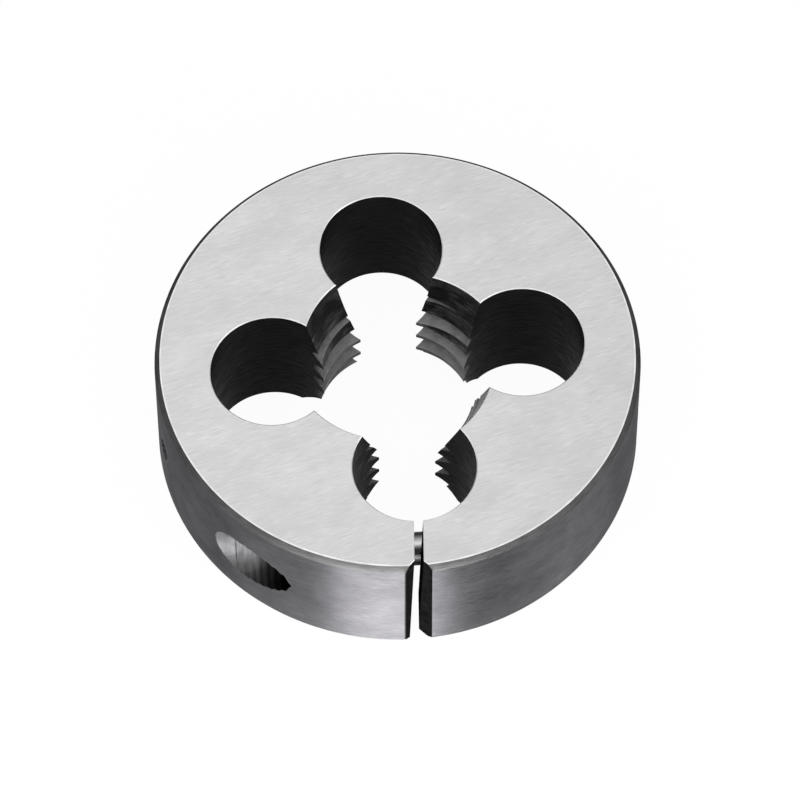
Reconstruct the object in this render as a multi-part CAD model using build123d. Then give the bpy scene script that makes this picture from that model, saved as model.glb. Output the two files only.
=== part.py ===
"""A round adjustable split threading die for 3/4 in - 10 UNC right-hand threads, in two pieces:
the hardened die body and the screw that crosses its slot and springs it open.

Millimetres and degrees. The origin is at the centre of the back face, on the thread's axis.
+Z points out of the front face, where the work enters. The adjusting slot is at -Y.
"""
import os
from math import cos, radians, sin, sqrt, tan

from build123d import *

# Disc.
outer_diameter = 50.8
thickness = 15.875
rim_chamfer = 0.6

# Chip holes: they clear the swarf, and where they open into the thread they leave the lands.
chip_hole_count = 4
chip_hole_diameter = 12.9
chip_hole_pitch_radius = 13.2
chip_hole_index = 2.6  # how far the pattern is turned from the slot, seen from the front

# Cutting thread, a 60 degree form with an eighth of the pitch left flat at its root.
thread_major_diameter = 19.05
thread_pitch = 2.54
flank_angle = 30.0
root_flat_share = 1 / 8
crest_flat_share = 1 / 5
first_groove_depth = 0.81  # from the front face to a groove's middle, on the +X axis

# Leads on the front face and, shorter, on the back one. Each land's cone is moved towards its heel,
# so that the land falls away behind its cutting edge.
lead_mouth_radius = 10.6
lead_length = 7.6
lead_relief = 1.0
back_mouth_radius = 10.9
back_length = 2.9
back_relief = 0.6

# Adjusting slot, with a vee where it meets the rim.
slot_width = 0.95
slot_skew = 4.3  # the saw cut leans this far from the radius, seen from the front
slot_lean = 1.7  # and this far from the die's axis, seen from the rim
vee_width = 2.85
vee_angle = 84.0

# Adjusting screw, across the slot. Its thread is a plain cylinder of the thread's size.
screw_inset = 6.9  # from the rim to the screw's axis
screw_depth = 8.2  # from the front face to the screw's axis
screw_thread_diameter = 6.6
screw_thread_length = 4.6
screw_shank_diameter = 3.5
screw_clearance = 0.05  # radial, and at the shank's tip
screw_end_chamfer = 0.4
driver_slot_width = 0.9
driver_slot_depth = 1.3
tapped_hole_end = 7.6  # where the tapped hole's full size stops, left of the die's axis
seat_end = 7.5  # where the shank's seat stops, right of the die's axis
drill_point_angle = 118.0

# Dimples in the rim for the holder's set screws.
dimple_diameter = 2.9
dimple_angle = 90.0
dimple_from_slot = 79.8  # round the rim, on each side of the slot

# Construction values.
overrun = 1.0  # how far a cutter passes the face it opens

outer_radius = outer_diameter / 2
chip_hole_radius = chip_hole_diameter / 2
land_pitch = 360 / chip_hole_count
thread_major_radius = thread_major_diameter / 2
thread_depth = (1 - root_flat_share - crest_flat_share) * thread_pitch / 2 / tan(radians(flank_angle))
thread_minor_radius = thread_major_radius - thread_depth
screw_height = thickness - screw_depth
screw_offset = outer_radius - screw_inset
tapped_hole_radius = screw_thread_diameter / 2 + screw_clearance
shank_hole_radius = screw_shank_diameter / 2 + screw_clearance


def polar(radius, angle, height=0.0):
    """A point at a radius and an angle about the die's axis."""
    return Vector(radius * cos(radians(angle)), radius * sin(radians(angle)), height)


def make_blank():
    """The disc, with its rim chamfered on both faces. The seam of its round faces is opposite the slot."""
    disc = extrude(Circle(outer_radius), thickness)
    rims = disc.edges().filter_by(GeomType.CIRCLE)
    return Rot(0, 0, 90) * chamfer(rims, rim_chamfer)


def chip_hole_cutters():
    """The round holes, drilled right through."""
    spots = PolarLocations(chip_hole_pitch_radius, chip_hole_count, start_angle=chip_hole_index - 90)
    hole = Pos(0, 0, -overrun) * extrude(Circle(chip_hole_radius), thickness + 2 * overrun)
    return [spot * hole for spot in spots]


def land_angles():
    """The middle of each land, half way between two chip holes."""
    return [chip_hole_index - 90 + (index + 0.5) * land_pitch for index in range(chip_hole_count)]


def sector(angle):
    """A wedge about the die's axis that holds one land."""
    first = polar(outer_radius, angle - land_pitch / 2)
    last = polar(outer_radius, angle + land_pitch / 2)
    wedge = make_face(Polyline((0, 0, 0), first, last, close=True))
    return Pos(0, 0, -overrun) * extrude(wedge, thickness + 2 * overrun)


def cone_cutter(mouth_radius, end_radius, length):
    """A cone that opens at z = 0 and narrows downwards, carried on past both ends."""
    slope = (mouth_radius - end_radius) / length
    wide = mouth_radius + slope * overrun
    narrow = end_radius - slope * overrun
    bottom = -length - overrun
    profile = Polyline((0, overrun), (wide, overrun), (narrow, bottom), (0, bottom), close=True)
    return revolve(Plane.XZ * make_face(profile), Axis.Z)


def relieved_cones(cone, relief, heel):
    """One cone for each land, moved by the relief towards its heel, a quarter turn from the land."""
    return [(Pos(polar(relief, angle + heel)) * cone) & sector(angle) for angle in land_angles()]


def lead_cutters():
    """The lead at the front face, where the work enters."""
    cone = Pos(0, 0, thickness) * cone_cutter(lead_mouth_radius, thread_minor_radius, lead_length)
    return relieved_cones(cone, lead_relief, -90)


def back_cutters():
    """The short lead at the back face, for threading up to a shoulder with the die turned over."""
    cone = Rot(180, 0, 0) * cone_cutter(back_mouth_radius, thread_minor_radius, back_length)
    return relieved_cones(cone, back_relief, 90)


def thread_groove():
    """The helical groove between the teeth, from below the back face to above the front one."""
    inner_radius = thread_minor_radius - 0.1 * thread_pitch
    half_root = root_flat_share * thread_pitch / 2
    half_mouth = half_root + (thread_major_radius - inner_radius) * tan(radians(flank_angle))
    turns_below = int((thickness - first_groove_depth) / thread_pitch) + 2
    start = thickness - first_groove_depth - turns_below * thread_pitch
    path = Pos(0, 0, start) * Helix(thread_pitch, thickness + thread_pitch - start, thread_major_radius)
    section = Polyline(
        (inner_radius, start - half_mouth),
        (thread_major_radius, start - half_root),
        (thread_major_radius, start + half_root),
        (inner_radius, start + half_mouth),
        close=True,
    )
    return sweep(Plane.XZ * make_face(section), path=path, is_frenet=True)


def slot_cutter():
    """The saw cut from the rim into the front chip hole, leaning about its mouth on the front face."""
    length = outer_radius - chip_hole_pitch_radius + overrun
    cut = Pos(0, length / 2 - overrun, -thickness / 2) * Box(slot_width, length, thickness + 2 * overrun)
    return Pos(0, -outer_radius, thickness) * Rot(0, 0, -slot_skew) * Rot(0, slot_lean, 0) * cut


def vee_cutter():
    """The vee that opens the slot at the rim."""
    rise = tan(radians(vee_angle / 2))
    edge = -sqrt(outer_radius**2 - (vee_width / 2) ** 2)
    apex = edge + vee_width / 2 / rise
    outer = edge - overrun
    half = vee_width / 2 + overrun * rise
    vee = make_face(Polyline((0, apex), (-half, outer), (half, outer), close=True))
    return Pos(0, 0, -overrun) * extrude(vee, thickness + 2 * overrun)


def turned_along_x(points):
    """A solid turned about the screw's axis from (place along X, radius) points."""
    profile = make_face(Polyline(points, close=True))
    return Pos(0, -screw_offset, screw_height) * revolve(profile, Axis.X)


def screw_hole_cutter():
    """The tapped hole from the rim, and the shank's hole on across the slot to its blind seat."""
    point = tan(radians(drill_point_angle / 2))
    shoulder = -tapped_hole_end + (tapped_hole_radius - shank_hole_radius) / point
    return turned_along_x([
        (-outer_radius, 0),
        (-outer_radius, tapped_hole_radius),
        (-tapped_hole_end, tapped_hole_radius),
        (shoulder, shank_hole_radius),
        (seat_end, shank_hole_radius),
        (seat_end + shank_hole_radius / point, 0),
    ])


def dimple_cutters():
    """A cone on each side of the slot, half way up the rim."""
    depth = dimple_diameter / 2 / tan(radians(dimple_angle / 2))
    flare = overrun * tan(radians(dimple_angle / 2))
    profile = make_face(Polyline((-depth, 0), (overrun, dimple_diameter / 2 + flare), (overrun, 0), close=True))
    cone = revolve(profile, Axis.X)
    angles = [-90 - dimple_from_slot, -90 + dimple_from_slot]
    return [Pos(polar(outer_radius, angle, thickness / 2)) * Rot(0, 0, angle) * cone for angle in angles]


def make_die_body():
    body = make_blank()
    body -= Pos(0, 0, -overrun) * extrude(Circle(thread_minor_radius), thickness + 2 * overrun)
    body -= thread_groove()
    body -= chip_hole_cutters()
    body -= lead_cutters()
    body -= back_cutters()
    body -= slot_cutter()
    body -= vee_cutter()
    body -= screw_hole_cutter()
    body -= dimple_cutters()
    return body


def make_adjusting_screw():
    """A slotted screw: a short thread, and a plain shank that bears on its seat across the slot."""
    thread_radius = screw_thread_diameter / 2
    shank_radius = screw_shank_diameter / 2
    thread_end = -tapped_hole_end - screw_clearance
    head = thread_end - screw_thread_length
    tip = seat_end - screw_clearance
    screw = turned_along_x([
        (head, 0),
        (head, thread_radius - screw_end_chamfer),
        (head + screw_end_chamfer, thread_radius),
        (thread_end - screw_end_chamfer, thread_radius),
        (thread_end, thread_radius - screw_end_chamfer),
        (thread_end, shank_radius),
        (tip - screw_end_chamfer, shank_radius),
        (tip, shank_radius - screw_end_chamfer),
        (tip, 0),
    ])
    slot = Box(2 * driver_slot_depth, driver_slot_width, 2 * screw_thread_diameter)
    return screw - Pos(head, -screw_offset, screw_height) * slot


nodes = {
    "die_body": make_die_body(),
    "adjusting_screw": make_adjusting_screw(),
}

os.makedirs("parts", exist_ok=True)
for name, solid in nodes.items():
    export_step(solid, f"parts/{name}.step")
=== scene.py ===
from math import cos, radians, sin, sqrt, tan

import bmesh
import bpy
from mathutils import Matrix, Vector


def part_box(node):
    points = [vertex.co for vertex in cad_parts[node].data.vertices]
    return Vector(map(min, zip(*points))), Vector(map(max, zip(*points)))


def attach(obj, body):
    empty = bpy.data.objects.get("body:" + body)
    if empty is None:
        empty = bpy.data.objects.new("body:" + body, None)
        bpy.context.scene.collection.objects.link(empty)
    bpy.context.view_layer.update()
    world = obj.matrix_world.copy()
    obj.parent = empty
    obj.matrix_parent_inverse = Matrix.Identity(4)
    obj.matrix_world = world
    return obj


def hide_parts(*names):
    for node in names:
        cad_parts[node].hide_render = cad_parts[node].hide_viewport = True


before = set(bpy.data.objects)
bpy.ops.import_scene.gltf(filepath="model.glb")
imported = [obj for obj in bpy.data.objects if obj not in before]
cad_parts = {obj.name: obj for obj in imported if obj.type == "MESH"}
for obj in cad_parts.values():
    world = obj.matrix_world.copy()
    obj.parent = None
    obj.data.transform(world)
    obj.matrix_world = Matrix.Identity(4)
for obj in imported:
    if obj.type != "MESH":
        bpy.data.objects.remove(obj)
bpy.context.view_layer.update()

# The script works in millimetres, as the CAD does, and every finished mesh is put into metres.
MM = 0.001

# ---------------------------------------------------------------------------------------------
# Sizes, in millimetres and degrees. The disc's size and the screw's place come from the frame,
# and the rest repeat the CAD source's driving dimensions.
# ---------------------------------------------------------------------------------------------
_, die_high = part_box("die_body")
screw_low, screw_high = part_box("adjusting_screw")

outer_radius = die_high.x / MM
thickness = die_high.z / MM
rim_chamfer = 0.6

chip_hole_count = 4
chip_hole_radius = 6.45
chip_hole_pitch_radius = 13.2
chip_hole_index = 2.6  # how far the pattern is turned from the slot, seen from the front
first_hole_angle = chip_hole_index - 90
land_pitch = 360 / chip_hole_count

thread_major_radius = 9.525
thread_pitch = 2.54
root_flat_share = 1 / 8
crest_flat_share = 0.2
flank_angle = 30.0
thread_depth = (1 - root_flat_share - crest_flat_share) * thread_pitch / 2 / tan(radians(flank_angle))
thread_minor_radius = thread_major_radius - thread_depth
first_groove_depth = 0.81  # from the front face to a groove's middle, on the +X axis

lead_mouth_radius = 10.6
lead_length = 7.6
lead_relief = 1.0
back_mouth_radius = 10.9
back_length = 2.9
back_relief = 0.6

slot_width = 0.95
slot_skew = -4.3  # the saw cut leans this far from the radius, seen from the front
slot_lean = 1.7  # and this far from the die's axis, seen from the rim
vee_width = 2.85
vee_angle = 84.0

screw_offset = -(screw_low.y + screw_high.y) / 2 / MM
screw_height = (screw_low.z + screw_high.z) / 2 / MM
screw_head = screw_low.x / MM
screw_tip = screw_high.x / MM
screw_radius = (screw_high.z - screw_low.z) / 2 / MM
screw_thread_length = 4.6
shank_radius = 1.75
screw_clearance = 0.05
screw_end_chamfer = 0.4
driver_slot_width = 0.9
driver_slot_depth = 1.3
drill_point_angle = 118.0

dimple_radius = 1.45
dimple_from_slot = 79.8  # round the rim, on each side of the slot

# What the scene adds to the CAD's form: broken edges, and the fine thread of the screw and its hole.
edge_break = 0.09  # the rim's edges are broken this much
hole_break = 0.1  # and the holes' edges this much
slot_break = 0.04  # and the slot's edges this much
vee_break = 0.06  # and the vee's edges at the rim this much
fine_pitch = 0.75
fine_depth = 0.12
fine_flat_share = 0.15  # of the pitch, at the fine thread's roots and at its crests
fine_margin = 0.01  # the fine thread misses the plain round form that it meets by this much
tapped_start = -18.4  # along X: the hole is plain from the rim to here, and threaded further in
head_room = 0.4  # the hole round the screw is plain from this far outside the screw's head

# Construction values.
overrun = 1.0  # how far a cutter passes the face it opens
weld_distance = 0.001  # points nearer than this are made one
sharp_angle = 25  # edges that turn by more than this stay sharp

# Segments of a full turn.
RIM_SEGMENTS = 360
THREAD_SEGMENTS = 120
HOLE_SEGMENTS = 144
SCREW_SEGMENTS = 96

# Values of the finishes.
grinding_angle = 14.5  # the grinding lines' lean on the front face, from +X
glancing_gloss = 0.3  # the black rim's gloss at a glancing angle
bore_shade_full_to = 13.4  # the screw's hole has its full painted shade from the middle out to here, along X
bore_shade_gone_from = 16.4  # and no painted shade from here to the rim, where it is at its brightest


# ---------------------------------------------------------------------------------------------
# Mesh helpers
# ---------------------------------------------------------------------------------------------
def polar(radius, angle, height=0.0):
    """A point at a radius and an angle in degrees about the die's axis."""
    return Vector((radius * cos(radians(angle)), radius * sin(radians(angle)), height))


def make_object(name, vertices, faces, marks, matrix=None):
    """A mesh object in millimetres. marks gives the name of each face's surface."""
    mesh = bpy.data.meshes.new(name)
    mesh.from_pydata(vertices, [], faces)
    for material in materials.values():
        mesh.materials.append(material)
    surfaces = list(materials)
    for polygon, mark in zip(mesh.polygons, marks):
        polygon.material_index = surfaces.index(mark)
    if matrix:
        mesh.transform(matrix)
    made = bpy.data.objects.new(name, mesh)
    bpy.context.scene.collection.objects.link(made)
    return made


def turned(name, profile, marks, segments, matrix=None):
    """A closed form turned about Z. profile is (radius, height) points whose first and last lie
    on the axis, and a radius may be a function of the angle. marks names each step's surface."""
    vertices = []
    rings = []
    for radius, height in profile:
        start = len(vertices)
        if radius == 0:
            vertices.append((0, 0, height))
            rings.append([start] * segments)
            continue
        for index in range(segments):
            angle = 360 * index / segments
            reach = radius(angle) if callable(radius) else radius
            vertices.append(polar(reach, angle, height))
        rings.append(list(range(start, start + segments)))
    faces = []
    face_marks = []
    for lower, upper, mark in zip(rings, rings[1:], marks):
        for index in range(segments):
            after = (index + 1) % segments
            corners = [lower[index], lower[after], upper[after], upper[index]]
            faces.append(list(dict.fromkeys(corners)))
            face_marks.append(mark)
    return make_object(name, vertices, faces, face_marks, matrix)


def threaded(name, rows, marks, pitch, low, turns, segments, matrix=None):
    """A closed rod with a right-hand thread along Z. rows is (share of the pitch, radius) points
    through one pitch, marks names the surface above each, and the columns climb with the helix,
    so its flanks are true."""
    count = len(rows)
    total = turns * count
    vertices = []
    for step in range(total):
        share, radius = rows[step % count]
        for index in range(segments):
            climb = step // count + share + index / segments
            vertices.append(polar(radius, 360 * index / segments, low + climb * pitch))

    def at(step, index):
        """The vertex of a row and a column, where one column past the last is a turn higher up."""
        if index == segments:
            return at(step + count, 0)
        return step * segments + index

    faces = []
    face_marks = []
    for index in range(segments):
        steps = total - 1 if index < segments - 1 else total - 1 - count
        for step in range(steps):
            corners = [at(step, index), at(step, index + 1), at(step + 1, index + 1), at(step + 1, index)]
            faces.append(corners)
            face_marks.append(marks[step % count])
    bottom_loop = [at(0, index) for index in range(segments)]
    bottom_loop += [at(step, 0) for step in range(count, 0, -1)]
    top_loop = [at(total - 1, index) for index in range(segments)]
    top_loop += [at(step, segments - 1) for step in range(total - 2, total - 2 - count, -1)]
    for loop, height in ((bottom_loop[::-1], low), (top_loop, low + (turns + 0.5) * pitch)):
        centre = len(vertices)
        vertices.append((0, 0, height))
        for first, second in zip(loop, loop[1:] + loop[:1]):
            faces.append([centre, first, second])
            face_marks.append(marks[-1])
    return make_object(name, vertices, faces, face_marks, matrix)


def prism(name, outline, side_marks, levels, matrix=None):
    """A closed form of one outline at several levels. levels is (height, how far it is widened),
    an outline is a function of that widening, and side_marks names the surface of each side. The
    ends have the first side's, and where the outline widens the side is an edge."""
    vertices = []
    for height, widening in levels:
        vertices += [(x, y, height) for x, y in outline(widening)]
    count = len(vertices) // len(levels)
    faces = [list(range(count))[::-1], list(range(len(vertices) - count, len(vertices)))]
    marks = [side_marks[0]] * 2
    for level in range(len(levels) - 1):
        broken = levels[level][1] != levels[level + 1][1]
        for index in range(count):
            after = (index + 1) % count
            base = level * count
            faces.append([base + index, base + after, base + count + after, base + count + index])
            marks.append("edge" if broken else side_marks[index])
    return make_object(name, vertices, faces, marks, matrix)


def cut(target, cutter, operation="DIFFERENCE"):
    """Takes the cutter away from the target, or keeps what they share, for good."""
    step = target.modifiers.new("cut", "BOOLEAN")
    step.operation = operation
    step.solver = "MANIFOLD"
    step.material_mode = "INDEX"
    step.object = cutter
    graph = bpy.context.evaluated_depsgraph_get()
    mesh = bpy.data.meshes.new_from_object(target.evaluated_get(graph), depsgraph=graph)
    target.modifiers.clear()
    old = target.data
    target.data = mesh
    bpy.data.meshes.remove(old)
    bpy.data.objects.remove(cutter)


def weld(mesh):
    """Takes out the edges shorter than weld_distance that the cuts leave."""
    work = bmesh.new()
    work.from_mesh(mesh)
    bmesh.ops.dissolve_degenerate(work, dist=weld_distance, edges=work.edges)
    bmesh.ops.remove_doubles(work, verts=work.verts, dist=weld_distance)
    work.to_mesh(mesh)
    work.free()


def finished(piece):
    """Welds a piece and puts it into metres, with smooth curves and sharp edges."""
    mesh = piece.data
    weld(mesh)
    mesh.transform(Matrix.Scale(MM, 4))
    mesh.validate()
    for polygon in mesh.polygons:
        polygon.use_smooth = True
    mesh.set_sharp_from_angle(angle=radians(sharp_angle))
    borders = sharp_borders(mesh)
    for edge in mesh.edges:
        if edge.index in borders:
            edge.use_edge_sharp = True
    return piece


def sharp_borders(mesh):
    """The edges where two surfaces of a piece meet."""
    found = {}
    for polygon in mesh.polygons:
        for loop_index in polygon.loop_indices:
            found.setdefault(mesh.loops[loop_index].edge_index, set()).add(polygon.material_index)
    return {edge for edge, surfaces in found.items() if len(surfaces) > 1}


# ---------------------------------------------------------------------------------------------
# Materials: procedural, in object coordinates, with their marks at the real scale in millimetres
# ---------------------------------------------------------------------------------------------
class Finish:
    """One material under construction."""

    def __init__(self, name, roughness, metallic=1.0, specular=0.5):
        self.material = bpy.data.materials.new(name)
        self.material.use_nodes = True
        self.tree = self.material.node_tree
        self.shader = self.tree.nodes["Principled BSDF"]
        self.shader.inputs["Metallic"].default_value = metallic
        self.shader.inputs["Roughness"].default_value = roughness
        self.shader.inputs["Specular IOR Level"].default_value = specular
        self.relief = None

    def node(self, kind, **settings):
        """A new node, with its own settings."""
        made = self.tree.nodes.new(kind)
        for name, value in settings.items():
            setattr(made, name, value)
        return made

    def link(self, source, target):
        """Joins an output to an input."""
        self.tree.links.new(source, target)

    def math(self, operation, first, second=0.0):
        """An operation on two values, each a number or another node's output."""
        made = self.node("ShaderNodeMath", operation=operation)
        for socket, value in zip(made.inputs, (first, second)):
            if isinstance(value, (int, float)):
                socket.default_value = value
            else:
                self.link(value, socket)
        return made.outputs[0]

    def ranged(self, value, low, high, to_low=0.0, to_high=1.0):
        """A value's range made into another, and held at that one's ends."""
        made = self.node("ShaderNodeMapRange")
        made.inputs["From Min"].default_value = low
        made.inputs["From Max"].default_value = high
        made.inputs["To Min"].default_value = to_low
        made.inputs["To Max"].default_value = to_high
        self.link(value, made.inputs["Value"])
        return made.outputs[0]

    def place(self):
        """Object coordinates."""
        return self.node("ShaderNodeTexCoord").outputs["Object"]

    def parts(self):
        """Object X, Y and Z."""
        split = self.node("ShaderNodeSeparateXYZ")
        self.link(self.place(), split.inputs[0])
        return split.outputs

    def from_axis(self):
        """The distance from the die's axis, in metres."""
        x, y, _ = self.parts()
        squares = self.math("ADD", self.math("MULTIPLY", x, x), self.math("MULTIPLY", y, y))
        return self.math("SQRT", squares)

    def round_place(self, radius):
        """Coordinates round the die's axis, in metres: along the wall, nothing, and up."""
        x, y, z = self.parts()
        angle = self.math("ARCTAN2", x, self.math("MULTIPLY", y, -1.0))
        join = self.node("ShaderNodeCombineXYZ")
        self.link(self.math("MULTIPLY", angle, radius * MM), join.inputs["X"])
        self.link(z, join.inputs["Z"])
        return join.outputs[0]

    def marks(self, place, size, angle=0.0, detail=3.0, low=0.3, high=0.7):
        """Noise whose spots are size, in millimetres, turned by an angle about Z. Its values from
        low to high are spread over 0 to 1."""
        mapping = self.node("ShaderNodeMapping", vector_type="TEXTURE")
        mapping.inputs["Rotation"].default_value = (0, 0, radians(angle))
        mapping.inputs["Scale"].default_value = [side * MM for side in size]
        noise = self.node("ShaderNodeTexNoise")
        noise.inputs["Scale"].default_value = 1.0
        noise.inputs["Detail"].default_value = detail
        self.link(place, mapping.inputs["Vector"])
        self.link(mapping.outputs[0], noise.inputs["Vector"])
        return self.ranged(noise.outputs["Fac"], low, high)

    def total(self, factors):
        """The sum of factors, each with its weight."""
        found = None
        for factor, weight in factors:
            part = self.math("MULTIPLY", factor, weight)
            found = part if found is None else self.math("ADD", found, part)
        return found

    def tint(self, factors, dark, light):
        """Base colour, from dark to light by the sum of weighted factors."""
        mix = self.node("ShaderNodeMix", data_type="RGBA")
        colour_sockets = [socket for socket in mix.inputs if socket.type == "RGBA"]
        colour_sockets[0].default_value = (*dark, 1)
        colour_sockets[1].default_value = (*light, 1)
        self.link(self.total(factors), mix.inputs["Factor"])
        colour = [socket for socket in mix.outputs if socket.type == "RGBA"][0]
        self.link(colour, self.shader.inputs["Base Color"])

    def rough(self, factor, low, high):
        """Roughness from low to high by a factor."""
        self.link(self.ranged(factor, 0, 1, low, high), self.shader.inputs["Roughness"])

    def bump(self, factor, depth):
        """Relief of a depth in millimetres."""
        made = self.node("ShaderNodeBump")
        made.inputs["Distance"].default_value = depth * MM
        self.link(factor, made.inputs["Height"])
        if self.relief is not None:
            self.link(self.relief, made.inputs["Normal"])
        self.relief = made.outputs[0]
        self.link(self.relief, self.shader.inputs["Normal"])

    def brushed(self, amount):
        """A gloss that spreads across the brushing, which runs round the die's axis."""
        quarter_turn = 0.25
        tangent = self.node("ShaderNodeTangent", direction_type="RADIAL", axis="Z")
        self.shader.inputs["Anisotropic"].default_value = amount
        self.shader.inputs["Anisotropic Rotation"].default_value = quarter_turn
        self.link(tangent.outputs[0], self.shader.inputs["Tangent"])


def grey(level, blue=0.0):
    """A grey, a little blue where that is asked for."""
    return (level, level * (1 - blue / 2), level * (1 + blue))


def ground_face():
    """A surface-ground face: straight fine lines, with a few coarser scratches and faint clouds."""
    made = Finish("ground_face", 0.42)
    place = made.place()
    fine = made.marks(place, (2.5, 0.07, 5), grinding_angle)
    dark = made.marks(place, (1.8, 0.16, 5), grinding_angle + 3, detail=4, low=0.52, high=0.78)
    light = made.marks(place, (1.5, 0.2, 5), grinding_angle - 4, detail=4, low=0.52, high=0.78)
    clouds = made.marks(place, (6, 3, 5), grinding_angle + 8)
    made.tint([(fine, 0.15), (light, 0.45), (clouds, 0.3), (dark, -0.55)], grey(0.55), grey(0.75))
    made.rough(fine, 0.38, 0.46)
    made.bump(fine, 0.002)
    made.bump(dark, -0.003)
    return made.material


def bright_edge():
    """Broken edges, rubbed bright, and lighter than the face as a painted highlight along them."""
    made = Finish("edge", 0.35)
    nicks = made.marks(made.place(), (1.2, 1.2, 0.6))
    made.tint([(nicks, 1.0)], grey(0.68), grey(0.92))
    return made.material


def rim_steel(name, dark, light, roughness, brushing):
    """Steel worked round the axis: short streaks along the rim, with bands and clouds."""
    made = Finish(name, roughness)
    made.shader.inputs["Specular Tint"].default_value = (*grey(glancing_gloss), 1)
    place = made.round_place(outer_radius)
    streaks = made.marks(place, (1, 1, 0.1), detail=4)
    bands = made.marks(place, (3, 1, 0.5))
    clouds = made.marks(place, (5, 1, 4), detail=2)
    made.tint([(streaks, 0.5), (bands, 0.2), (clouds, 0.3)], dark, light)
    made.rough(streaks, roughness - 0.06, roughness + 0.06)
    made.bump(streaks, 0.003)
    made.brushed(brushing)
    return made.material


def chip_wall():
    """The chip holes' walls, near black and almost without gloss as painted shade for the holes' insides,
    with reaming marks.
    """
    made = Finish("chip_wall", 0.5, metallic=0.0, specular=0.02)
    marks = made.marks(made.place(), (1.5, 1.5, 0.3), detail=4)
    patches = made.marks(made.place(), (3, 3, 3))
    made.tint([(marks, 0.5), (patches, 0.5)], grey(0.0003), grey(0.009))
    made.rough(marks, 0.35, 0.6)
    made.bump(marks, 0.02)
    return made.material


def thread_steel():
    """The cutting thread's flanks: grey, with a fine grain, and painted light towards the crests that
    fades into painted shade towards the roots.
    """
    made = Finish("thread", 0.45)
    grain = made.marks(made.place(), (0.6, 0.6, 0.12), detail=4)
    patches = made.marks(made.place(), (1.2, 1.2, 1.2))
    # painted light and shade: lighter towards the crests, darker towards the roots
    crest = made.ranged(made.from_axis(), thread_major_radius * MM, thread_minor_radius * MM)
    made.tint([(grain, 0.2), (patches, 0.3), (crest, 0.5)], grey(0.05), grey(0.24))
    made.bump(grain, 0.012)
    return made.material


def thread_flat():
    """The flats at the teeth's crests and roots, the dimples and the driver's slot, dark: in the dimples
    and the driver's slot this is painted shade.
    """
    made = Finish("thread_flat", 0.4)
    grain = made.marks(made.place(), (0.8, 0.8, 0.2), detail=4)
    made.tint([(grain, 1.0)], grey(0.006), grey(0.05))
    made.bump(grain, 0.01)
    return made.material


def lead_steel():
    """The leads, darkened as painted shade inside the bore, with the relieving cutter's faint streaks
    round them.
    """
    made = Finish("lead", 0.42)
    place = made.round_place(lead_mouth_radius)
    streaks = made.marks(place, (2.4, 1, 0.22), detail=4)
    patches = made.marks(place, (2.4, 1, 1.6), low=0.45, high=0.7)
    both = made.math("MULTIPLY", streaks, patches)
    made.tint([(both, 0.85), (streaks, 0.15)], grey(0.004), grey(0.13))
    made.bump(streaks, 0.012)
    return made.material


def slot_wall():
    """The sawn slot and its vee, black and without gloss: painted shade for the narrow slot."""
    made = Finish("slot_wall", 0.8, metallic=0.0, specular=0.0)
    marks = made.marks(made.place(), (1, 1, 0.25), detail=4)
    made.tint([(marks, 1.0)], grey(0.0003), grey(0.007))
    made.rough(marks, 0.35, 0.6)
    made.bump(marks, 0.015)
    return made.material


def bore_wall():
    """The wall of the screw's hole: bright at the mouth in the rim, and darkened further in by painted
    shade.
    """
    made = Finish("bore_wall", 0.7)
    rings = made.marks(made.place(), (0.2, 1.5, 1.5))
    patches = made.marks(made.place(), (1.2, 0.8, 0.8))
    x, _, _ = made.parts()
    # painted shade: mouth is 0 deep in the hole and 1 near the rim, so the wall darkens inwards
    mouth = made.ranged(made.math("ABSOLUTE", x), bore_shade_full_to * MM, bore_shade_gone_from * MM)
    both = made.math("MULTIPLY", mouth, made.total([(rings, 0.25), (patches, 0.25), (mouth, 0.5)]))
    made.tint([(both, 1.0)], grey(0.002), grey(0.145, 0.02))
    made.bump(rings, 0.006)
    return made.material


def screw_steel():
    """The adjusting screw's thread and head, bright turned steel."""
    made = Finish("screw_steel", 0.32)
    rings = made.marks(made.place(), (0.12, 3, 3))
    patches = made.marks(made.place(), (1.5, 1, 1))
    made.tint([(rings, 0.5), (patches, 0.5)], grey(0.36), grey(0.6))
    made.bump(rings, 0.003)
    return made.material


# Painted highlights and painted shade on the shank, in bands along it: the angle round it, up from
# the slot's mouth, and the grey painted there.
SHANK_PAINTED_LIGHT = [
    (0, 0.015),
    (8, 0.02),
    (18, 0.045),
    (32, 0.055),
    (45, 0.016),
    (60, 0.09),
    (77, 1.0),
    (90, 0.5),
    (105, 0.2),
    (120, 0.05),
]


def shank_steel():
    """The adjusting screw's shank: dark, with painted highlights and painted shade in bands along it."""
    made = Finish("shank", 0.45)
    _, y, z = made.parts()
    outwards = made.math("SUBTRACT", made.math("MULTIPLY", y, -1.0), screw_offset * MM)
    upwards = made.math("SUBTRACT", z, screw_height * MM)
    turn = made.ranged(made.math("ARCTAN2", upwards, outwards), radians(-180), radians(180))
    ramp = made.node("ShaderNodeValToRGB")
    stops = ramp.color_ramp.elements
    while len(stops) < len(SHANK_PAINTED_LIGHT):
        stops.new(0.5)
    for stop, (angle, level) in zip(stops, SHANK_PAINTED_LIGHT):
        stop.position = 0.5 + angle / 360
        stop.color = (*grey(level), 1)
    made.link(turn, ramp.inputs["Fac"])
    made.link(ramp.outputs["Color"], made.shader.inputs["Base Color"])
    made.bump(made.marks(made.place(), (0.12, 3, 3)), 0.003)
    return made.material


# Each surface's name and its material, in the order of every mesh's material slots.
materials = {
    "ground_face": ground_face(),
    "edge": bright_edge(),
    "rim_chamfer": rim_steel("rim_chamfer", grey(0.03), grey(0.11), roughness=0.6, brushing=0.0),
    "rim": rim_steel("rim", grey(0.06, 0.04), grey(0.17, 0.04), roughness=0.66, brushing=0.95),
    "chip_wall": chip_wall(),
    "thread": thread_steel(),
    "thread_flat": thread_flat(),
    "lead": lead_steel(),
    "slot_wall": slot_wall(),
    "bore_wall": bore_wall(),
    "screw_steel": screw_steel(),
    "shank": shank_steel(),
}


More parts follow.
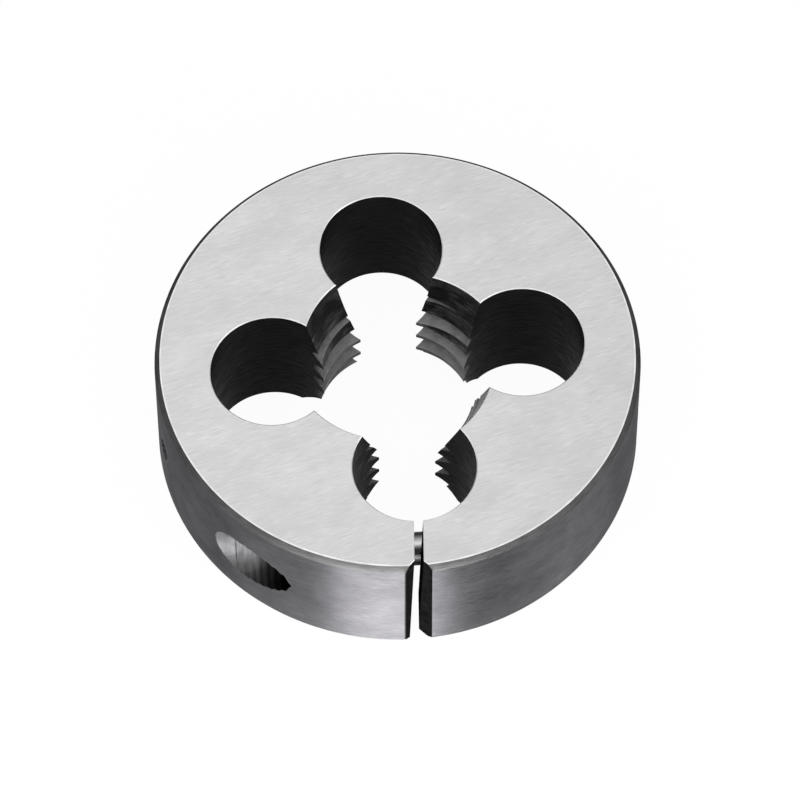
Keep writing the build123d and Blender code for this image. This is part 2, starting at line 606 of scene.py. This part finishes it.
# ---------------------------------------------------------------------------------------------
# The die
# ---------------------------------------------------------------------------------------------
def make_blank():
    """The ground disc, chamfered at both faces, with each chamfer's edges broken."""
    face_radius = outer_radius - rim_chamfer
    along_chamfer = 0.7 * edge_break
    knee_inset = 0.3 * edge_break
    knee_rise = 0.6 * edge_break
    lower = [
        (0, 0),
        (face_radius - edge_break, 0),
        (face_radius + along_chamfer, along_chamfer),
        (outer_radius - edge_break, rim_chamfer - edge_break),
        (outer_radius - knee_inset, rim_chamfer + knee_rise),
        (outer_radius, rim_chamfer + 2 * edge_break),
    ]
    upper = [(radius, thickness - height) for radius, height in reversed(lower)]
    half = ["ground_face", "edge", "rim_chamfer", "rim_chamfer", "rim"]
    marks = [*half, "rim", *reversed(half)]
    return turned("die", lower + upper, marks, RIM_SEGMENTS)


def chip_hole_cutters():
    """The round holes, drilled right through, each flared at both faces and turned with its place."""
    flare = chip_hole_radius + hole_break + overrun
    profile = [
        (0, -overrun),
        (flare, -overrun),
        (chip_hole_radius, hole_break),
        (chip_hole_radius, thickness - hole_break),
        (flare, thickness + overrun),
        (0, thickness + overrun),
    ]
    marks = ["chip_wall", "edge", "chip_wall", "edge", "chip_wall"]
    cutters = []
    for index in range(chip_hole_count):
        turn = Matrix.Rotation(radians(first_hole_angle + index * land_pitch), 4, "Z")
        place = turn @ Matrix.Translation((chip_hole_pitch_radius, 0, 0))
        cutters.append(turned("chip_hole", profile, marks, HOLE_SEGMENTS, place))
    return cutters


def thread_cutter():
    """The bore with its helical groove between the teeth, carried on past both faces."""
    half_root = root_flat_share / 2
    crest_start = 0.5 - crest_flat_share / 2
    crest_end = 0.5 + crest_flat_share / 2
    rows = [
        (0, thread_major_radius),
        (2 * half_root, thread_major_radius),
        (crest_start + half_root, thread_minor_radius),
        (crest_end + half_root, thread_minor_radius),
    ]
    turns_below = int((thickness - first_groove_depth) / thread_pitch) + 2
    low = thickness - first_groove_depth - (turns_below + half_root) * thread_pitch
    marks = ["thread_flat", "thread", "thread_flat", "thread"]
    return threaded("bore", rows, marks, thread_pitch, low, turns_below + 3, THREAD_SEGMENTS)


def relieved(cone_radius, relief, heel):
    """A lead's reach from the die's axis, as a function of the angle. Each land has a cone of its
    own, moved towards its heel, a quarter turn away, so that the land falls away behind its
    cutting edge."""
    def reach(angle):
        land = round((angle - first_hole_angle) / land_pitch - 0.5)
        land_angle = first_hole_angle + (land + 0.5) * land_pitch
        along = polar(1, angle).dot(polar(relief, land_angle + heel))
        return along + sqrt(along**2 - relief**2 + cone_radius**2)
    return reach


def front_reach(cone_radius):
    """The front lead's reach where its cones have this radius."""
    return relieved(cone_radius, lead_relief, -90)


def back_reach(cone_radius):
    """The back lead's reach where its cones have this radius."""
    return relieved(cone_radius, back_relief, 90)


def lead_cutter():
    """The relieved lead at the front face, where the work enters, with its mouth's edge broken."""
    slope = (lead_mouth_radius - thread_minor_radius) / lead_length
    bottom = thickness - lead_length - overrun
    profile = [
        (0, bottom),
        (front_reach(thread_minor_radius - slope * overrun), bottom),
        (front_reach(lead_mouth_radius - slope * hole_break), thickness - hole_break),
        (front_reach(lead_mouth_radius + hole_break + overrun), thickness + overrun),
        (0, thickness + overrun),
    ]
    return turned("lead", profile, ["lead", "lead", "edge", "lead"], RIM_SEGMENTS)


def back_cutter():
    """The short relieved lead at the back face, with its mouth's edge broken."""
    slope = (back_mouth_radius - thread_minor_radius) / back_length
    top = back_length + overrun
    profile = [
        (0, -overrun),
        (back_reach(back_mouth_radius + hole_break + overrun), -overrun),
        (back_reach(back_mouth_radius - slope * hole_break), hole_break),
        (back_reach(thread_minor_radius - slope * overrun), top),
        (0, top),
    ]
    return turned("back", profile, ["lead", "edge", "lead", "lead"], RIM_SEGMENTS)


def face_levels():
    """The levels of a cutter that runs from face to face and breaks its edges there."""
    return [
        (-overrun, slot_break + overrun),
        (slot_break, 0),
        (thickness - slot_break, 0),
        (thickness + overrun, slot_break + overrun),
    ]


def slot_cutter():
    """The saw cut from the rim into the front chip hole."""
    length = outer_radius - chip_hole_pitch_radius

    def outline(widening):
        half = slot_width / 2 + widening
        return [(-half, -overrun), (half, -overrun), (half, length), (-half, length)]

    turn = Matrix.Rotation(radians(slot_skew), 4, "Z") @ Matrix.Rotation(radians(slot_lean), 4, "Y")
    lift = Matrix.Translation((0, -outer_radius, thickness))
    drop = Matrix.Translation((0, 0, -thickness))
    return prism("slot", outline, ["slot_wall"] * 4, face_levels(), lift @ turn @ drop)


def vee_cutter():
    """The vee that opens the slot at the rim, with its two edges there broken."""
    side = radians(vee_angle / 2)
    break_slope = tan((radians(90) - side) / 2)
    lip = -sqrt(outer_radius**2 - (vee_width / 2) ** 2)
    apex = lip + vee_width / 2 / tan(side)
    shoulder = vee_width / 2 - vee_break
    shoulder_y = apex - shoulder / tan(side)
    outer = shoulder_y - overrun
    half = shoulder + overrun / break_slope

    def outline(widening):
        lift = widening / sin(side)
        return [
            (0, apex + lift),
            (-shoulder, shoulder_y + lift),
            (-half, outer + lift),
            (half, outer + lift),
            (shoulder, shoulder_y + lift),
        ]

    return prism("vee", outline, ["slot_wall", "rim", "rim", "rim", "slot_wall"], face_levels())


def on_screw_axis(x=0.0):
    """Where a form made about Z lies along the screw's axis, its Z along X."""
    along_x = Matrix.Rotation(radians(90), 4, "Y")
    return Matrix.Translation((x, -screw_offset, screw_height)) @ along_x


def fine_thread(name, root, crest, mark, low, turns):
    """A rod on the screw's axis with the screw's fine thread, between two radii."""
    rows = [(0, root), (fine_flat_share, root), (0.5, crest), (0.5 + fine_flat_share, crest)]
    return threaded(name, rows, [mark] * 4, fine_pitch, low, turns, SCREW_SEGMENTS, on_screw_axis())


def screw_hole_cutter():
    """The plain hole round the screw's thread, and the shank's hole across the slot to its seat."""
    point = tan(radians(drill_point_angle / 2))
    hole = screw_radius + screw_clearance
    narrow = shank_radius + screw_clearance
    shoulder = screw_head + screw_thread_length + screw_clearance
    seat = screw_tip + screw_clearance
    profile = [
        (0, screw_head - head_room),
        (hole, screw_head - head_room),
        (hole, shoulder),
        (narrow, shoulder + (hole - narrow) / point),
        (narrow, seat),
        (0, seat + narrow / point),
    ]
    return turned("screw_hole", profile, ["bore_wall"] * 5, SCREW_SEGMENTS, on_screw_axis())


def mouth_cutter():
    """The tapped hole's mouth, plain down to where its thread starts."""
    hole = screw_radius + screw_clearance
    profile = [
        (0, -outer_radius - overrun),
        (hole, -outer_radius - overrun),
        (hole, tapped_start),
        (0, tapped_start + hole),
    ]
    return turned("mouth", profile, ["bore_wall"] * 3, SCREW_SEGMENTS, on_screw_axis())


def tapped_hole_cutter():
    """The tapped hole's thread, from its plain mouth to the screw's head."""
    hole = screw_radius + screw_clearance - fine_margin
    low = tapped_start - 2 * fine_pitch
    turns = int((screw_head - low) / fine_pitch)
    return fine_thread("tapped", hole - fine_depth, hole, "bore_wall", low, turns)


def dimple_cutters():
    """A cone on each side of the slot, half way up the rim, for the holder's set screws."""
    profile = [(0, -overrun), (dimple_radius + overrun, -overrun), (0, dimple_radius)]
    cutters = []
    for side in (-1, 1):
        angle = -90 + side * dimple_from_slot
        inward = Matrix.Rotation(radians(angle), 4, "Z") @ Matrix.Rotation(radians(-90), 4, "Y")
        place = Matrix.Translation(polar(outer_radius, angle, thickness / 2)) @ inward
        cutters.append(turned("dimple", profile, ["thread_flat"] * 2, SCREW_SEGMENTS, place))
    return cutters


def make_die():
    """The die body: the blank, less every cutter."""
    made = make_blank()
    cutters = [thread_cutter(), lead_cutter(), back_cutter(), *chip_hole_cutters()]
    cutters += [slot_cutter(), vee_cutter()]
    cutters += [screw_hole_cutter(), mouth_cutter(), tapped_hole_cutter(), *dimple_cutters()]
    for cutter in cutters:
        cut(made, cutter)
    return finished(made)


# ---------------------------------------------------------------------------------------------
# The adjusting screw
# ---------------------------------------------------------------------------------------------
def screw_blank():
    """The screw without its thread and driver slot, with chamfered ends."""
    thread_end = screw_head + screw_thread_length
    profile = [
        (0, screw_head),
        (screw_radius - screw_end_chamfer, screw_head),
        (screw_radius, screw_head + screw_end_chamfer),
        (screw_radius, thread_end - screw_end_chamfer),
        (screw_radius - screw_end_chamfer, thread_end),
        (shank_radius, thread_end),
        (shank_radius, screw_tip - screw_end_chamfer),
        (shank_radius - screw_end_chamfer, screw_tip),
        (0, screw_tip),
    ]
    marks = ["screw_steel"] * 5 + ["shank"] * 3
    return turned("screw", profile, marks, SCREW_SEGMENTS, on_screw_axis())


def screw_thread():
    """A threaded rod longer than the screw. What it shares with the blank is the threaded screw."""
    root = screw_radius - fine_depth
    crest = screw_radius + fine_margin
    turns = int((screw_tip - screw_head) / fine_pitch) + 3
    return fine_thread("screw_thread", root, crest, "screw_steel", screw_head - fine_pitch, turns)


def driver_slot_cutter():
    """The screwdriver's slot across the screw's head."""
    reach = 2 * screw_radius

    def outline(widening):
        half = driver_slot_width / 2 + widening
        return [(-half, -reach), (half, -reach), (half, reach), (-half, reach)]

    levels = [(-overrun, 0), (driver_slot_depth, 0)]
    place = on_screw_axis(screw_head) @ Matrix.Rotation(radians(90), 4, "Z")
    return prism("driver_slot", outline, ["thread_flat"] * 4, levels, place)


def make_screw():
    """The adjusting screw, threaded and slotted."""
    made = screw_blank()
    cut(made, screw_thread(), "INTERSECT")
    cut(made, driver_slot_cutter())
    return finished(made)


die = make_die()
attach(die, "die")
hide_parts("die_body")

screw = make_screw()
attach(screw, "screw")
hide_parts("adjusting_screw")


# ---------------------------------------------------------------------------------------------
# Floor, light and camera
# ---------------------------------------------------------------------------------------------
# The camera, fitted to the photo's outline, chip holes and rim.
camera_focal = 6669.8  # in pixels
frame_side = 800  # in pixels
sensor_width = 36.0
camera_elevation = 60.311  # over the front face
camera_turn = -4.94  # about the die's axis, from the slot's side
camera_roll = -0.111
camera_distance = 27.4044  # from the front face's middle, in outer radii
camera_right = 0.0099  # and moved this far to the right, in outer radii
camera_up = -0.1802  # and this far up
camera_range = (0.01, 20)  # the nearest and the furthest that it sees, in metres

# The floor.
floor_reach = 1.0  # from the die's axis to each side, in metres
floor_level = 0.9  # its grey, as the light falls on it
floor_glow = 0.96  # the share of plain white in it for a ray from the camera, a mirror or glass


def make_camera():
    """The camera, made over the slot's side and turned about the die's axis."""
    elevation = radians(camera_elevation)
    roll = radians(camera_roll)
    back = Vector((0, -cos(elevation), sin(elevation)))
    level = Vector((1, 0, 0))
    up = Vector((0, sin(elevation), cos(elevation)))
    right = cos(roll) * level + sin(roll) * up
    top = cos(roll) * up - sin(roll) * level
    place = (back * camera_distance + right * camera_right + top * camera_up) * outer_radius * MM
    rotation = Matrix((right, top, back)).transposed().to_4x4()
    data = bpy.data.cameras.new("camera")
    data.sensor_width = sensor_width
    data.lens = camera_focal / frame_side * sensor_width
    data.clip_start, data.clip_end = camera_range
    made = bpy.data.objects.new("camera", data)
    bpy.context.scene.collection.objects.link(made)
    face_middle = Matrix.Translation((0, 0, thickness * MM))
    turn = Matrix.Rotation(radians(camera_turn), 4, "Z")
    made.matrix_world = face_middle @ turn @ Matrix.Translation(place) @ rotation
    bpy.context.scene.camera = made


def floor_math(tree, operation, first, second):
    """An operation on a node's output and on another one or a number."""
    made = tree.nodes.new("ShaderNodeMath")
    made.operation = operation
    tree.links.new(first, made.inputs[0])
    if isinstance(second, float):
        made.inputs[1].default_value = second
    else:
        tree.links.new(second, made.inputs[1])
    return made.outputs[0]


def seen_directly(tree):
    """1 for rays from the camera, a mirror or glass, and 0 for light on its way to a surface."""
    rays = tree.nodes.new("ShaderNodeLightPath").outputs
    seen = floor_math(tree, "MAXIMUM", rays["Is Camera Ray"], rays["Is Glossy Ray"])
    return floor_math(tree, "MAXIMUM", seen, rays["Is Transmission Ray"])


def floor_material():
    """A pale grey that takes the die's shadow and shows as nearly white itself."""
    material = bpy.data.materials.new("floor")
    material.use_nodes = True
    tree = material.node_tree
    tree.nodes.clear()
    diffuse = tree.nodes.new("ShaderNodeBsdfDiffuse")
    diffuse.inputs["Color"].default_value = (*grey(floor_level), 1)
    glow = tree.nodes.new("ShaderNodeEmission")
    glow.inputs["Strength"].default_value = 1.0
    mix = tree.nodes.new("ShaderNodeMixShader")
    share = floor_math(tree, "MULTIPLY", seen_directly(tree), floor_glow)
    tree.links.new(share, mix.inputs[0])
    tree.links.new(diffuse.outputs[0], mix.inputs[1])
    tree.links.new(glow.outputs[0], mix.inputs[2])
    out = tree.nodes.new("ShaderNodeOutputMaterial")
    tree.links.new(mix.outputs[0], out.inputs["Surface"])
    return material


def make_floor():
    """A square under the die."""
    reach = floor_reach
    corners = [(-reach, -reach, 0), (reach, -reach, 0), (reach, reach, 0), (-reach, reach, 0)]
    mesh = bpy.data.meshes.new("floor")
    mesh.from_pydata(corners, [], [(0, 1, 2, 3)])
    mesh.materials.append(floor_material())
    floor = bpy.data.objects.new("floor", mesh)
    bpy.context.scene.collection.objects.link(floor)


def make_world():
    """A plain white world."""
    world = bpy.data.worlds.new("world")
    world.use_nodes = True
    tree = world.node_tree
    background = tree.nodes["Background"]
    background.inputs["Color"].default_value = (1, 1, 1, 1)
    background.inputs["Strength"].default_value = 1.0
    bpy.context.scene.world = world


def area_light(name, spot, azimuth, elevation, distance, size, power):
    """A soft light that looks at a spot on the die. Its azimuth is from +X, its distance and its
    size, a width and a height, are in millimetres, and its power is in watts."""
    outwards = polar(cos(radians(elevation)), azimuth, sin(radians(elevation)))
    width, height = size
    data = bpy.data.lights.new(name, "AREA")
    data.shape = "RECTANGLE"
    data.size = width * MM
    data.size_y = height * MM
    data.energy = power
    made = bpy.data.objects.new(name, data)
    bpy.context.scene.collection.objects.link(made)
    made.location = (Vector(spot) + outwards * distance) * MM
    made.rotation_mode = "QUATERNION"
    made.rotation_quaternion = outwards.to_track_quat("Z", "Y")
    made.visible_camera = False


def make_lights():
    """A key light close before the slot, one on each side of the rim, and a faint one that sweeps
    over the front face from behind."""
    middle = (0, 0, thickness / 2)
    slot_mouth = (0, -outer_radius, thickness / 2)
    near_left = (-14, -14, thickness)
    area_light("key", slot_mouth, azimuth=259, elevation=0, distance=55, size=(44, 12), power=0.122)
    area_light("right", middle, azimuth=325, elevation=10, distance=150, size=(100, 40), power=0.05)
    area_light("left", middle, azimuth=222, elevation=5, distance=150, size=(60, 20), power=0.03)
    area_light("sweep", near_left, azimuth=85, elevation=60, distance=120, size=(50, 50), power=0.0032)


make_camera()
make_floor()
make_world()
make_lights()

view = bpy.context.scene.view_settings
view.view_transform = "Standard"
